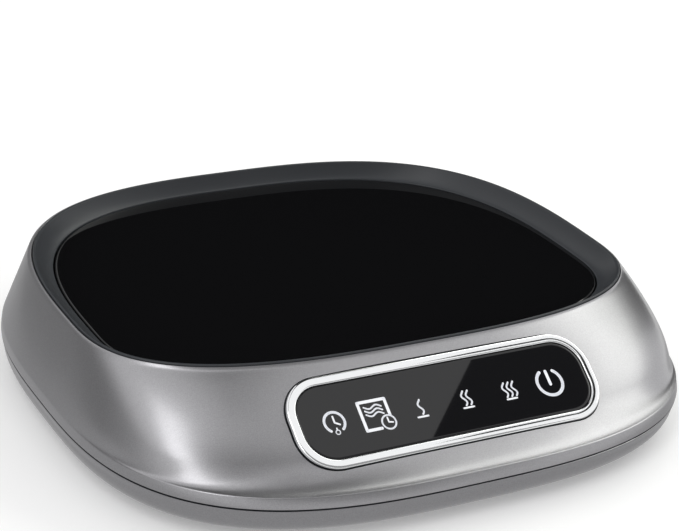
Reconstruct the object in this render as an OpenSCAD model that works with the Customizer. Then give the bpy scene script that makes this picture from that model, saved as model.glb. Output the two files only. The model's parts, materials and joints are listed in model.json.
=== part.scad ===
// Electric mug warmer: a low rounded-square housing with a recessed glass heating plate and a
// sloped front that carries a touch panel, with the heater stack, boards and wiring inside.
// +Z is up, the front faces -Y, and the origin is on the ground under the middle of the housing.

/* [Housing] */
// Width of the housing
body_w = 150; // [144:1:158]
// Depth of the housing in front of its widest line
front_depth = 64; // [62:0.5:70]
// Depth of the housing behind its widest line
back_depth = 70; // [67:0.5:76]
// Squareness of the outline, where 2 is an ellipse
squareness = 2.95; // [2.85:0.05:3.2]
// Wall thickness of the mouldings
wall = 2.2; // [1.9:0.1:2.5]
// Height of the underside above the ground
ground_gap = 1.5; // [1:0.1:2]
// Height of the parting line above the ground
parting_h = 8.9; // [8.5:0.1:9.5]
// Width of the shadow gap along the parting line
parting_gap = 0.4; // [0.2:0.1:0.6]
// Height of the upright belt between the parting line and the crease
belt_h = 2.4; // [2:0.1:3]
// Inward lean of the belt at the sides and the back
belt_lean = 0.2; // [0:0.1:0.5]
// Inward lean of the belt at the front
belt_lean_front = 1; // [0.5:0.1:1.5]
// Rounding of the bottom edge
edge_r = 5.4; // [4.6:0.2:6]
// Inset of the base at the start of that rounding
edge_inset = 0.5; // [0.2:0.1:0.8]

/* [Slopes] */
// How far the sides lean in between the crease and the rim
side_run = 5.2; // [4.6:0.2:6]
// How far the back leans in between the crease and the rim
back_run = 3.1; // [2.6:0.1:4]
// How far the front leans in between the crease and the rim
front_run = 27.3; // [26.5:0.1:28.5]
// Slope of the front face at the crease, as a rise per length
flare_slope = 0.05; // [0:0.01:0.12]
// Squareness of the opening
rim_square = 2.85; // [2.8:0.05:3]
// Extra squareness of the front face at half height, which flattens it for the panel
face_flatness = 0.8; // [0.5:0.1:1]
// Rounding of the rim
lip_round = 0.8; // [0.6:0.1:1]
// Width of the rim between its outer edge and the opening
lip_land = 1; // [1:0.1:1.4]
// Height of the upright face inside the rim
lip_depth = 3.4; // [3:0.1:3.8]

/* [Tray and glass plate] */
// Depth of the glass plate's top below the rim
recess_depth = 3.5; // [3:0.1:4]
// Height of the tray's edge above the rim
tray_proud = 0.4; // [0.2:0.1:0.6]
// Gap between the tray and the rim
tray_fit = 0.15; // [0.1:0.05:0.3]
// Thickness of the tray's deck
deck_t = 2; // [1.6:0.1:2.4]
// Thickness of the tray's upright skirt
skirt_t = 2.2; // [1.8:0.1:2.6]
// Width of the tray's sloped wall at the sides
cove_side = 5.2; // [4.6:0.2:6]
// Width of the tray's sloped wall at the front
cove_front = 4.2; // [3.8:0.2:5]
// Width of the tray's sloped wall at the back
cove_back = 3; // [2.8:0.2:4]
// Hollowness of the tray's sloped wall, where 1 is straight
cove_bow = 1.6; // [1.2:0.1:2]
// Thickness of the glass plate
plate_t = 4; // [3:0.5:4.5]
// Gap between the glass plate and the tray
plate_fit = 0.3; // [0.2:0.05:0.5]
// Bevel on the glass plate's edge
plate_bevel = 0.5; // [0.3:0.1:0.8]
// Thickness of the sealing ring under the glass plate
gasket_t = 0.8; // [0.6:0.1:1]
// Width of the sealing ring
gasket_w = 4; // [3:0.5:4.5]

/* [Heater] */
// Clearance between the heater stack and the sealing ring around it
heater_margin = 2.15; // [1.85:0.05:2.85]
// Clearance between the heater stack and the deck around it
heater_fit = 1.2; // [0.8:0.1:1.4]
// Thickness of the aluminium spreader
spreader_t = 1.5; // [1:0.1:1.8]
// Thickness of each mica sheet
mica_t = 0.4; // [0.3:0.1:0.5]
// Thickness of the heating track
track_t = 0.3; // [0.2:0.1:0.4]
// Width of the heating track
track_w = 2.4; // [2:0.2:2.8]
// Distance between neighbouring turns of the heating track
track_pitch = 4.2; // [3.8:0.2:4.6]
// Number of turns of the heating track
track_turns = 8; // [6:2:8]
// Thickness of the insulation pad
insulation_t = 2.8; // [2.4:0.1:3.2]
// Sheet thickness of the heater pan
pan_t = 0.8; // [0.6:0.1:1]
// Diameter of the heater pan's fixing bosses
pan_boss_d = 5.6; // [5:0.2:6]
// Diameter of the thermistor's probe
probe_d = 3; // [2.4:0.2:3.4]
// Diameter of the thermal fuse
thermal_fuse_d = 3.6; // [3:0.2:4]
// Length of the thermal fuse's body
thermal_fuse_l = 11; // [9:1:13]

/* [Touch panel] */
// Width of the bezel
bezel_w = 76.1; // [72:0.5:78]
// Height of the bezel along the slope
bezel_h = 21.6; // [20.4:0.2:22]
// Corner radius of the bezel
bezel_r = 8.8; // [7:0.2:9.6]
// Width of the bezel's ring
bezel_rim = 2.2; // [1.8:0.1:2.6]
// Depth of the bezel's seat below its top
bezel_seat = 1.6; // [1.4:0.1:1.9]
// Gap around the bezel
bezel_gap = 0.2; // [0.1:0.05:0.3]
// Height of the bezel above the slope at the panel's middle
panel_proud = 0.3; // [0.1:0.1:0.5]
// Depth of the panel's middle below the rim
panel_drop = 8.2; // [7.8:0.1:8.5]
// Tilt of the front face and the panel from level
panel_tilt = 35; // [34:0.5:36]
// Depth of the lens below the bezel's top
lens_drop = 0.3; // [0.2:0.1:0.5]
// Number of touch keys
key_count = 6; // [4:1:6]
// Distance of the outer touch keys from the ends of the light window, on average
key_margin = 6; // [5.5:0.1:7]
// Shift of the touch keys to the left
key_shift = 1.2; // [0:0.1:1.2]
// Height of the light guide between the lens and the control board
guide_h = 4; // [3.6:0.1:4.4]
// Diameter of the light wells
well_d = 8; // [7.6:0.1:8.6]
// Mean diameter of the touch springs
spring_d = 6; // [5.4:0.1:6.4]
// Wire diameter of the touch springs
spring_wire = 0.6; // [0.4:0.05:0.7]
// Turns of the touch springs
spring_turns = 3.5; // [3:0.5:4]

/* [Base and fastenings] */
// Thickness of the base's floor
floor_t = 2.2; // [1.8:0.1:2.4]
// Height of the base's tongue inside the shell
tongue_h = 1; // [0.8:0.1:1.1]
// Gap around the tongue
tongue_fit = 0.15; // [0.1:0.05:0.3]
// Diameter of the housing's screw columns
column_d = 7.2; // [6.6:0.2:7.6]
// Thread diameter of the housing screws
screw_d = 2.9; // [2.5:0.1:3.2]
// Thread diameter of the small screws
small_screw_d = 2; // [1.8:0.1:2.2]
// Clearance around each screw
screw_fit = 0.15; // [0.1:0.05:0.25]
// Diameter of the rubber feet
foot_d = 12; // [10:0.5:13]
// Depth of the feet's pockets
foot_sink = 0.6; // [0.4:0.1:0.8]
// Width of the vent slots
vent_w = 1.6; // [1.2:0.1:2]
// Length of the vent slots
vent_l = 16; // [12:1:18]
// Number of vent slots in each row
vent_count = 7; // [5:2:9]
// Diameter of the mains cord's bore in the gland
cord_bore_d = 5.6; // [5:0.1:5.8]
// Wall thickness of the gland
gland_wall = 1.4; // [1.2:0.1:1.5]
// Height of the gland's flange above its body
gland_flange = 0.7; // [0.5:0.1:0.8]
// Thickness of the gland's flange
gland_flange_t = 2; // [1.6:0.1:2.2]

/* [Boards] */
// Thickness of the circuit boards
board_t = 1.6; // [1.4:0.1:1.8]
// Width of the power board
power_w = 102; // [98:1:104]
// Depth of the power board
power_d = 50; // [46:1:52]
// Height of the power board's posts
post_h = 2.8; // [2.4:0.1:3]
// Room between the power board and the heater pan
head_room = 6; // [5.6:0.1:7]
// Reach of the control board beyond the light window at each side
control_margin = 6.75; // [6:0.25:7.5]
// Height of the control board along the slope
control_h = 13; // [12:0.5:13.5]
// Diameter of the inner wires with their sleeve
wire_d = 1.6; // [1.2:0.1:1.8]
// Thickness of the ribbon cable
ribbon_t = 0.9; // [0.7:0.1:1]
// Width of the ribbon cable
ribbon_w = 8; // [6:0.5:9]

/* [Hidden] */
$fn = 48;
segments = 96;
eps = 0.01;

mid_y = (front_depth - back_depth) / 2;
crease_h = parting_h + belt_h;
floor_z = ground_gap + floor_t;
power_z = floor_z + post_h;
power_top = power_z + board_t;
pan_z = power_top + head_room;
insulation_z = pan_z + pan_t;
lower_mica_z = insulation_z + insulation_t;
track_z = lower_mica_z + mica_t;
upper_mica_z = track_z + track_t;
spreader_z = upper_mica_z + mica_t;
plate_bottom = spreader_z + spreader_t;
plate_top = plate_bottom + plate_t;
deck_top = plate_bottom - gasket_t;
deck_bottom = deck_top - deck_t;
rim_h = plate_top + recess_depth;
lip_h = rim_h - lip_round;
panel_h = rim_h - panel_drop;
face_slope = tan(panel_tilt);
flare_run = 2 * (face_slope * front_run - (lip_h - crease_h)) / (face_slope - flare_slope);
flare_rise = flare_run * (face_slope + flare_slope) / 2;

// Outline sizes: half width, front depth, back depth, front squareness, back squareness
parting_size = [body_w / 2, front_depth, back_depth, squareness, squareness];
crease_size = parting_size - [belt_lean, belt_lean_front, belt_lean, 0, 0];
lip_size = [crease_size[0] - side_run, crease_size[1] - front_run, crease_size[2] - back_run,
    rim_square, rim_square];
opening_size = inset(lip_size, lip_land);
tray_size = inset(opening_size, tray_fit);
plate_size = tray_size - [cove_side, cove_front, cove_back, 0, 0];
pocket_size = inset(plate_size, -plate_fit);
skirt_size = inset(pocket_size, -skirt_t);
tongue_inset = wall / 2 + tongue_fit / 2;
rebate_inset = wall / 2 - tongue_fit / 2;
rebate_h = tongue_h + 0.2;

plate_y = mid_y + (plate_size[2] - plate_size[1]) / 2;
gasket_inset = 0.3;
heater_r = (plate_size[1] + plate_size[2]) / 2 - gasket_inset - gasket_w - heater_margin;
well_opening_r = heater_r + heater_fit;
pan_rim_r = well_opening_r + pan_t;
pan_boss_r = pan_boss_d / 2;
pan_ear_reach = pan_rim_r + pan_boss_r + 0.7;
pan_ear_angles = [45, 135, 225, 315];
probe_x = -10;
probe_line = 8;
probe_at = [probe_x, plate_y + probe_line];
thermal_fuse_x = 12;
thermal_fuse_line = 8;
thermal_fuse_at = [thermal_fuse_x, plate_y - thermal_fuse_line];
terminal_x = 5;
terminal_inset = 3.6;
terminal_y = plate_y - heater_r + terminal_inset;
terminal_d = 2.4;
terminal_tail = 1.2;
collar_t = 1;
fuse_lead = 4;

panel_y = mid_y - (crease_size[1] - front_inset(panel_h - crease_h));
lens_w = bezel_w - 2 * bezel_rim;
lens_h = bezel_h - 2 * bezel_rim;
lens_r = bezel_r - bezel_rim;
lens_fit = 0.1;
seat_t = 1.6;
seat_margin = 1.4;
window_margin = 2.6;
window_w = lens_w - 2 * window_margin;
window_h = lens_h - 2 * window_margin;
window_r = 3;
guide_fit = 0.2;
guide_back = -bezel_seat - guide_h;
control_back = guide_back - board_t;
control_drop = 0.7;
control_post_d = 4.8;
control_w = window_w + 2 * control_margin;
control_post_x = control_w / 2 - control_post_d * 2 / 3;
key_drop = 0.5;
key_pitch = (window_w - 2 * key_margin) / max(key_count - 1, 1);
key_places = [for (i = [0 : key_count - 1]) (i - (key_count - 1) / 2) * key_pitch - key_shift];
led_size = [2.8, 1.4, 0.8];
control_chip = [7, 5, 1.4];
control_chip_x = -12;
plug_size = [ribbon_w + 3, 5, 3.6];

// Screw columns: direction from the middle, and how far up the slope each one meets the wall
column_r = column_d / 2;
column_meets = [[42, 0.2], [138, 0.2], [215, 0.4], [325, 0.4]];
column_places = [for (meet = column_meets)
    (reach(skin_size(meet[1]), meet[0]) - wall - column_r) * [cos(meet[0]), sin(meet[0])] + [0, mid_y]];
screw_head_d = 5.4;
screw_head_h = 2;
small_head_d = 4;
small_head_h = 1.2;
screw_sink = 3;
screw_bite = 6;

// The shell's lugs under the tray, by their distance from the widest line
lug_lines = [-9, 28];
lug_t = 2.4;
lug_w = 8;
lug_boss_d = 5;
lug_places = [for (side = [-1, 1]) for (line = lug_lines)
    [side * (half_width_at(skirt_size, line) - lug_boss_d / 2), mid_y + line]];
tray_screw_bite = deck_bottom - insulation_z + deck_t - 0.7;

foot_x = 38;
foot_front = 45;
foot_back = 50;
foot_places = [for (x = [-foot_x, foot_x]) for (line = [-foot_front, foot_back]) [x, mid_y + line]];
foot_dimple = 0.4;
vent_front = 26;
vent_back = 53;
vent_rows = [mid_y - vent_front, mid_y + vent_back];
vent_pitch = 6;

gland_z = parting_h;
gland_y = mid_y + back_depth - 0.2;
gland_bore_r = cord_bore_d / 2;
gland_r = gland_bore_r + gland_wall;
gland_fit = 0.15;
gland_body_l = wall + 0.7;
gland_tail = 3;
gland_rib_t = 2;
gland_rib_w = 16;

power_y = plate_y;
power_front = power_y - power_d / 2;
post_r = 3;
post_inset = 4;
post_places = [for (x = [-1, 1]) for (y = [-1, 1])
    [x * (power_w / 2 - post_inset), power_y + y * (power_d / 2 - post_inset)]];
socket_h = head_room - 0.6;
socket_d = 7;
socket_y = power_front + socket_d / 2 + 1;
heater_socket_w = 12;
sensor_socket_w = 8;
ribbon_x = 20;
sensor_x = -16;
// Board parts: width, depth and height, and the place of their middle from the board's middle
film_size = [7.4, 18, 8.2];
film_line = -4;
tall_part_x = pan_rim_r + 0.8;
smoothing_d = 7.6;
smoothing_l = 12;
smoothing_line = -10;
inductor_d = 8;
inductor_h = 5;
inductor_flange = 1;
inductor_at = [31, -6];
rectifier_size = [8.4, 6.4, 3];
rectifier_at = [-26, 3];
triac_size = [10, 9, 4.4];
triac_tab = [10, 6, 1.3];
triac_pin = [0.8, 3.5, 0.6];
triac_pitch = 2.5;
triac_at = [24, 10];
tab_hole_d = 3.4;
chip_size = [5, 6, 1.6];
chip_at = [6, -4];
terminal_size = [15, 8, socket_h];
terminal_at = [4, 6];
terminal_pitch = 5;
terminal_hole_d = 2.6;
glass_fuse_d = 5;
glass_fuse_l = 20;
fuse_cap_l = 5;
fuse_clip_l = 3;
fuse_lift = 0.4;
fuse_at = [-24, power_y + power_d / 2 - 8];

// Interpolation between two values or two outline sizes
function lerp(a, b, share) = a + (b - a) * share;

// An outline size reduced all round
function inset(size, by) = size - [by, by, by, 0, 0];

// Distance from the middle to an outline in one direction
function reach(size, angle) =
    let (front = sin(angle) < 0)
    let (depth = front ? size[1] : size[2])
    let (square = front ? size[3] : size[4])
    pow(pow(abs(cos(angle)) / size[0], square) + pow(abs(sin(angle)) / depth, square), -1 / square);

// Half width of an outline at a distance from the widest line
function half_width_at(size, line) =
    let (depth = line < 0 ? size[1] : size[2])
    let (square = line < 0 ? size[3] : size[4])
    size[0] * pow(1 - pow(abs(line) / depth, square), 1 / square);

function direction(index) = index * 360 / segments;

// A level ring of points along an outline
function ring(size, z) = [for (i = [0 : segments - 1])
    let (angle = direction(i), r = reach(size, angle))
    [r * cos(angle), mid_y + r * sin(angle), z]];

function flat_outline(size) = [for (p = ring(size, 0)) [p[0], p[1]]];

// How far the front face has come in at a height above the crease: a flare, then a straight slope
function front_inset(rise) =
    rise < flare_rise
    ? (sqrt(pow(flare_slope, 2) + 2 * (face_slope - flare_slope) * max(rise, 0) / flare_run) - flare_slope)
        * flare_run / (face_slope - flare_slope)
    : flare_run + (rise - flare_rise) / face_slope;

// Outline of the shell's skin, from the crease at 0 to the rim at 1
function skin_size(share) = [
    crease_size[0] - side_run * share,
    crease_size[1] - front_inset((lip_h - crease_h) * share),
    crease_size[2] - back_run * share,
    lerp(squareness, rim_square, share) + face_flatness * 4 * share * (1 - share),
    lerp(squareness, rim_square, share)];

function skin_z(share) = lerp(crease_h, lip_h, share);

function skin_point(share, angle) = [reach(skin_size(share), angle), skin_z(share)];

// A ring on the skin, or at a depth inside it along the skin's own normal
function skin_ring(share, depth) = [for (i = [0 : segments - 1])
    let (angle = direction(i))
    let (run = skin_point(share + eps, angle) - skin_point(share - eps, angle))
    let (p = skin_point(share, angle) + depth * [-run[1], run[0]] / norm(run))
    let (r = depth > 0 ? max(p[0], reach(opening_size, angle)) : p[0])
    [r * cos(angle), mid_y + r * sin(angle), p[1]]];

// A ring of points along a rectangle with round corners, in the panel's own frame
function round_rect_ring(w, h, r, z, steps) =
    [for (corner = [[1, 1, 0], [-1, 1, 90], [-1, -1, 180], [1, -1, 270]]) for (k = [0 : steps])
        let (angle = corner[2] + 90 * k / steps)
        [corner[0] * (w / 2 - r) + r * cos(angle), corner[1] * (h / 2 - r) + r * sin(angle), z]];

// Faces between neighbouring rings
function band_faces(count, sides, last) = [for (k = [0 : last]) for (i = [0 : sides - 1])
    let (a = k * sides + i)
    let (b = k * sides + (i + 1) % sides)
    let (c = ((k + 1) % count) * sides + (i + 1) % sides)
    let (d = ((k + 1) % count) * sides + i)
    each [[a, d, c], [a, c, b]]];

function all_points(rings) = [for (r = rings) each r];

// A point on a smooth curve between two ends with their handles
function curve_point(p, s) =
    pow(1 - s, 3) * p[0] + 3 * pow(1 - s, 2) * s * p[1] + 3 * (1 - s) * s * s * p[2] + pow(s, 3) * p[3];

function curve_points(p, steps) = [for (k = [0 : steps]) curve_point(p, k / steps)];

// A path that leaves one end straight, bends, and comes straight into the other end
function lead_path(start, start_pull, end, end_pull, steps) =
    let (stub = 0.3)
    let (a = start + stub * unit(start_pull), b = end + stub * unit(end_pull))
    concat([start], curve_points([a, a + start_pull, b + end_pull, b], steps), [end]);

function unit(v) = v / norm(v);

// Rings of a round wire along a path
function wire_rings(path, r, sides, side_axis) = [for (k = [0 : len(path) - 1])
    let (ahead = unit(path[min(k + 1, len(path) - 1)] - path[max(k - 1, 0)]))
    let (across = unit(side_axis - (side_axis * ahead) * ahead))
    let (up = cross(ahead, across))
    [for (i = [0 : sides - 1]) path[k] + r * (across * cos(i * 360 / sides) + up * sin(i * 360 / sides))]];

function helix(turns, r, from, to, steps) = [for (k = [0 : steps])
    let (angle = 360 * turns * k / steps)
    [r * cos(angle), r * sin(angle), lerp(from, to, k / steps)]];

// A closed band whose last ring joins its first
module loft_loop(rings) {
    polyhedron(all_points(rings), band_faces(len(rings), len(rings[0]), len(rings) - 1), convexity = 6);
}

// A solid through the rings, closed at both ends
module loft_solid(rings) {
    count = len(rings);
    sides = len(rings[0]);
    caps = [[for (i = [0 : sides - 1]) i], [for (i = [sides - 1 : -1 : 0]) (count - 1) * sides + i]];
    polyhedron(all_points(rings), concat(band_faces(count, sides, count - 2), caps), convexity = 6);
}

module wire(path, d, side_axis) {
    loft_solid(wire_rings(path, d / 2, 8, side_axis));
}

module round_rect(w, h, r) {
    union() {
        square([w - 2 * r, h], center = true);
        square([w, h - 2 * r], center = true);
        for (x = [-1, 1]) for (y = [-1, 1]) translate([x * (w / 2 - r), y * (h / 2 - r)]) circle(r);
    }
}

// The panel's frame: its middle is on the bezel's top, and its own Z points out of the slope
module panel_frame() {
    translate([0, panel_y, panel_h]) rotate([panel_tilt, 0, 0]) translate([0, 0, panel_proud]) children();
}

// A screw with its head's underside at the origin and its thread going up
module screw(d, length, head_d, head_h) {
    difference() {
        union() {
            cylinder(d = d, h = length);
            translate([0, 0, -head_h]) cylinder(d = head_d, h = head_h);
        }
        translate([0, 0, -head_h]) cube([head_d * 0.6, d * 0.25, head_h], center = true);
        translate([0, 0, -head_h]) cube([d * 0.25, head_d * 0.6, head_h], center = true);
    }
}

// The shell's outer form at a depth inside the skin, as one solid
module shell_core(depth) {
    loft_solid(concat([ring(inset(parting_size, depth), parting_h)],
        [for (share = [0.1, 0.3, 0.5, 0.7, 0.9]) skin_ring(share, depth)]));
}

module upper_shell() {
    skin_shares = [0, 0.06, 0.13, 0.22, 0.35, 0.5, 0.65, 0.82, 1];
    color("silver") difference() {
        union() {
            loft_loop(concat(
                [ring(parting_size, parting_h)],
                [for (share = skin_shares) skin_ring(share, 0)],
                [for (a = [45, 90]) ring(inset(lip_size, lip_round * (1 - cos(a))), lip_h + lip_round * sin(a))],
                [ring(opening_size, rim_h), ring(opening_size, rim_h - lip_depth)],
                [for (share = [0.7, 0.45, 0.2]) skin_ring(share, wall)],
                [ring(inset(parting_size, wall), parting_h + rebate_h)],
                [ring(inset(parting_size, rebate_inset), parting_h + rebate_h)],
                [ring(inset(parting_size, rebate_inset), parting_h)]));
            intersection() {
                shell_core(wall / 2);
                union() {
                    for (p = column_places) translate([p[0], p[1], parting_h]) cylinder(r = column_r, h = rim_h);
                    for (p = lug_places) translate([p[0], p[1], insulation_z - lug_t]) {
                        cylinder(d = lug_w, h = lug_t);
                        translate([p[0] > 0 ? 0 : -body_w, -lug_w / 2, 0]) cube([body_w, lug_w, lug_t]);
                    }
                    panel_frame() {
                        translate([0, 0, -bezel_seat - seat_t]) linear_extrude(seat_t) {
                            round_rect(bezel_w + 2 * seat_margin, bezel_h + 2 * seat_margin, bezel_r);
                        }
                        for (x = [-1, 1]) translate([x * control_post_x, -control_drop, guide_back]) {
                            cylinder(d = control_post_d, h = guide_h - seat_t / 2);
                        }
                    }
                }
            }
        }
        translate([0, 0, deck_bottom - 0.3]) linear_extrude(rim_h) polygon(flat_outline(opening_size));
        for (p = column_places) translate([p[0], p[1], parting_h - eps]) {
            cylinder(d = screw_d + 2 * screw_fit, h = screw_bite + 1);
        }
        for (p = lug_places) translate([p[0], p[1], insulation_z - lug_t - 1]) {
            cylinder(d = small_screw_d + 2 * screw_fit, h = lug_t + 2);
        }
        panel_frame() {
            translate([0, 0, -bezel_seat]) linear_extrude(bezel_seat * 3) {
                round_rect(bezel_w + 2 * bezel_gap, bezel_h + 2 * bezel_gap, bezel_r + bezel_gap);
            }
            translate([0, 0, -bezel_seat - seat_t * 2]) linear_extrude(seat_t * 3) {
                round_rect(window_w, window_h, window_r);
            }
            for (x = [-1, 1]) translate([x * control_post_x, -control_drop, guide_back - eps]) {
                cylinder(d = small_screw_d + 2 * screw_fit, h = guide_h - seat_t);
            }
        }
        gland_bore();
    }
}

// Room for the cord gland through the back wall, square so that the gland can't turn
module gland_bore() {
    body = 2 * (gland_r + gland_fit);
    flange = body + 2 * gland_flange;
    body_l = gland_body_l + gland_flange_t + gland_tail + 3;
    translate([-body / 2, gland_y + 1 - body_l, gland_z - body / 2]) cube([body, body_l, body]);
    translate([-flange / 2, gland_y - gland_body_l - gland_flange_t - gland_fit, gland_z - flange / 2]) {
        cube([flange, gland_flange_t + 2 * gland_fit, flange]);
    }
}

module cord_gland() {
    body = 2 * gland_r;
    flange = body + 2 * gland_flange;
    corner = 1;
    color("dimgray") translate([0, gland_y, gland_z]) rotate([90, 0, 0]) difference() {
        union() {
            linear_extrude(gland_body_l + gland_flange_t) round_rect(body, body, corner);
            translate([0, 0, gland_body_l]) linear_extrude(gland_flange_t) round_rect(flange, flange, corner);
            cylinder(r = gland_r, h = gland_body_l + gland_flange_t + gland_tail);
        }
        translate([0, 0, -1]) cylinder(r = gland_bore_r, h = gland_body_l + gland_flange_t + gland_tail + 2);
    }
}

module inner_tray() {
    tray_top = rim_h + tray_proud;
    edge_t = 0.6;
    boss_h = deck_bottom - insulation_z;
    lip_in = inset(tray_size, edge_t);
    cove_top = tray_top - 0.15;
    cove_drop = cove_top - plate_top;
    color([0.2, 0.21, 0.23]) difference() {
        union() {
            loft_solid(concat(
                [ring(skirt_size, deck_bottom), ring(skirt_size, plate_top - 2)],
                [ring(tray_size, rim_h - lip_depth), ring(tray_size, tray_top - 0.2)],
                [ring(inset(tray_size, 0.2), tray_top), ring(lip_in, cove_top)],
                [for (s = [0.2, 0.4, 0.6, 0.8, 1])
                    ring(lerp(lip_in, pocket_size, s), cove_top - cove_drop * (1 - pow(1 - s, cove_bow)))],
                [ring(pocket_size, deck_top)]));
            for (p = lug_places) translate([p[0], p[1], insulation_z]) {
                cylinder(d = lug_boss_d, h = boss_h + eps);
            }
            for (angle = pan_ear_angles) translate([0, plate_y, insulation_z]) rotate(angle) {
                translate([pan_ear_reach, 0, 0]) cylinder(r = pan_boss_r, h = boss_h + eps);
            }
        }
        translate([0, plate_y, deck_bottom - 1]) cylinder(r = well_opening_r, h = rim_h, $fn = 96);
        for (p = lug_places) translate([p[0], p[1], insulation_z - eps]) {
            cylinder(d = small_screw_d + 2 * screw_fit, h = tray_screw_bite + 0.2);
        }
        for (angle = pan_ear_angles) translate([0, plate_y, insulation_z - eps]) rotate(angle) {
            translate([pan_ear_reach, 0, 0]) cylinder(d = small_screw_d + 2 * screw_fit, h = boss_h + 1);
        }
    }
}

module base_pan() {
    inner_r = edge_r - wall;
    column_h = parting_h - floor_z;
    color("silver") difference() {
        union() {
            loft_solid(concat(
                [for (a = [90, 67.5, 45, 22.5, 0])
                    let (in = edge_inset + edge_r * (1 - cos(a)))
                    ring(inset(parting_size, in), ground_gap + edge_r * (1 - sin(a)))],
                [ring(parting_size, parting_h - parting_gap)],
                [ring(inset(parting_size, tongue_inset), parting_h - parting_gap)],
                [ring(inset(parting_size, tongue_inset), parting_h + tongue_h)],
                [ring(inset(parting_size, wall), parting_h + tongue_h)],
                [for (a = [0, 45, 90])
                    let (in = wall + edge_inset + inner_r * (1 - cos(a)))
                    ring(inset(parting_size, in), floor_z + inner_r * (1 - sin(a)))]));
            for (p = column_places) translate([p[0], p[1], floor_z - eps]) {
                cylinder(r = column_r, h = column_h + eps);
            }
            for (p = post_places) translate([p[0], p[1], floor_z - eps]) {
                cylinder(r = post_r, h = post_h + eps);
            }
            gland_rib();
        }
        for (p = column_places) translate([p[0], p[1], 0]) {
            cylinder(d = screw_d + 2 * screw_fit, h = parting_h + 1);
            cylinder(d = screw_head_d + 4 * screw_fit, h = ground_gap + screw_sink);
        }
        for (p = post_places) translate([p[0], p[1], floor_z]) {
            cylinder(d = small_screw_d + 2 * screw_fit, h = post_h + 1);
        }
        for (p = foot_places) translate([p[0], p[1], 0]) cylinder(d = foot_d, h = ground_gap + foot_sink);
        for (y = vent_rows) for (k = [0 : vent_count - 1]) {
            translate([(k - (vent_count - 1) / 2) * vent_pitch, y, 0]) linear_extrude(floor_z + 1) {
                round_rect(vent_w, vent_l, vent_w / 2 - eps);
            }
        }
        gland_bore();
    }
}

// The rib that keeps the gland's flange against the back wall
module gland_rib() {
    rib_y = gland_y - gland_body_l - gland_flange_t - gland_fit - gland_rib_t;
    translate([-gland_rib_w / 2, rib_y, floor_z - eps]) cube([gland_rib_w, gland_rib_t, parting_h - floor_z]);
}

module rubber_feet() {
    color([0.13, 0.13, 0.14]) for (p = foot_places) translate([p[0], p[1], 0]) difference() {
        cylinder(d = foot_d, h = ground_gap + foot_sink);
        translate([0, 0, -1]) cylinder(d = foot_d / 2, h = foot_dimple + 1);
    }
}

module housing_screws() {
    color("gainsboro") for (p = column_places) translate([p[0], p[1], ground_gap + screw_sink]) {
        screw(screw_d, parting_h + screw_bite - ground_gap - screw_sink, screw_head_d, screw_head_h);
    }
}

module tray_screws() {
    color("gainsboro") for (p = lug_places) translate([p[0], p[1], insulation_z - lug_t]) {
        screw(small_screw_d, lug_t + tray_screw_bite, small_head_d, small_head_h);
    }
}

module glass_plate() {
    color([0.04, 0.04, 0.05]) loft_solid([
        ring(plate_size, plate_bottom), ring(plate_size, plate_top - plate_bevel),
        ring(inset(plate_size, plate_bevel), plate_top)]);
}

module plate_gasket() {
    color("darkred") translate([0, 0, deck_top]) linear_extrude(gasket_t) difference() {
        polygon(flat_outline(inset(plate_size, gasket_inset)));
        polygon(flat_outline(inset(plate_size, gasket_inset + gasket_w)));
    }
}

module heater_disc(z, t) {
    translate([0, plate_y, z]) cylinder(r = heater_r, h = t, $fn = 96);
}

module heat_spreader() {
    color("lightgray") heater_disc(spreader_z, spreader_t);
}

module upper_mica() {
    color("tan") heater_disc(upper_mica_z, mica_t);
}

// Holes for the two heater terminals
module terminal_holes(margin) {
    for (x = [-1, 1]) translate([x * terminal_x, terminal_y, 0]) cylinder(d = terminal_d + 2 * margin, h = rim_h);
}

// The hole for the thermistor's probe
module probe_hole() {
    translate([probe_at[0], probe_at[1], 0]) cylinder(d = probe_d + 0.4, h = lower_mica_z);
}

// One continuous foil track: turns cut open at the front and joined to their neighbours by turns
module heater_track() {
    outer_r = heater_r - 2.4;
    gap = track_pitch - track_w;
    color("sienna") translate([0, plate_y, track_z]) linear_extrude(track_t) {
        for (k = [0 : track_turns - 1]) {
            difference() {
                circle(outer_r - k * track_pitch, $fn = 96);
                circle(outer_r - k * track_pitch - track_w, $fn = 96);
                translate([-gap / 2, -2 * heater_r]) square([gap, 2 * heater_r]);
            }
        }
        for (k = [0 : track_turns - 2]) {
            side = k % 2 == 0 ? 1 : -1;
            top = sqrt(pow(outer_r - k * track_pitch, 2) - pow(gap / 2 + track_w, 2));
            translate([side > 0 ? gap / 2 : -gap / 2 - track_w, -top]) square([track_w, track_pitch + track_w]);
        }
        for (x = [-1, 1]) translate([x * terminal_x, terminal_y - plate_y]) circle(terminal_d);
    }
}

module lower_mica() {
    color("tan") difference() {
        heater_disc(lower_mica_z, mica_t);
        terminal_holes(0.2);
    }
}

module insulation_pad() {
    color("whitesmoke") difference() {
        heater_disc(insulation_z, insulation_t);
        terminal_holes(0.2);
        probe_hole();
    }
}

module heater_pan() {
    color("lightsteelblue") difference() {
        union() {
            translate([0, plate_y, pan_z]) rotate_extrude($fn = 96) {
                square([pan_rim_r, pan_t]);
                translate([well_opening_r, 0]) square([pan_t, deck_bottom - pan_z]);
            }
            for (angle = pan_ear_angles) translate([0, plate_y, pan_z]) rotate(angle) {
                translate([pan_ear_reach, 0, 0]) cylinder(r = pan_boss_r, h = pan_t);
                translate([heater_r, -pan_boss_r, 0]) cube([pan_ear_reach - heater_r, pan_boss_d, pan_t]);
            }
        }
        for (angle = pan_ear_angles) translate([0, plate_y, pan_z - 1]) rotate(angle) {
            translate([pan_ear_reach, 0, 0]) cylinder(d = small_screw_d + 2 * screw_fit, h = pan_t + 2);
        }
        terminal_holes(0.5);
        probe_hole();
    }
}

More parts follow.
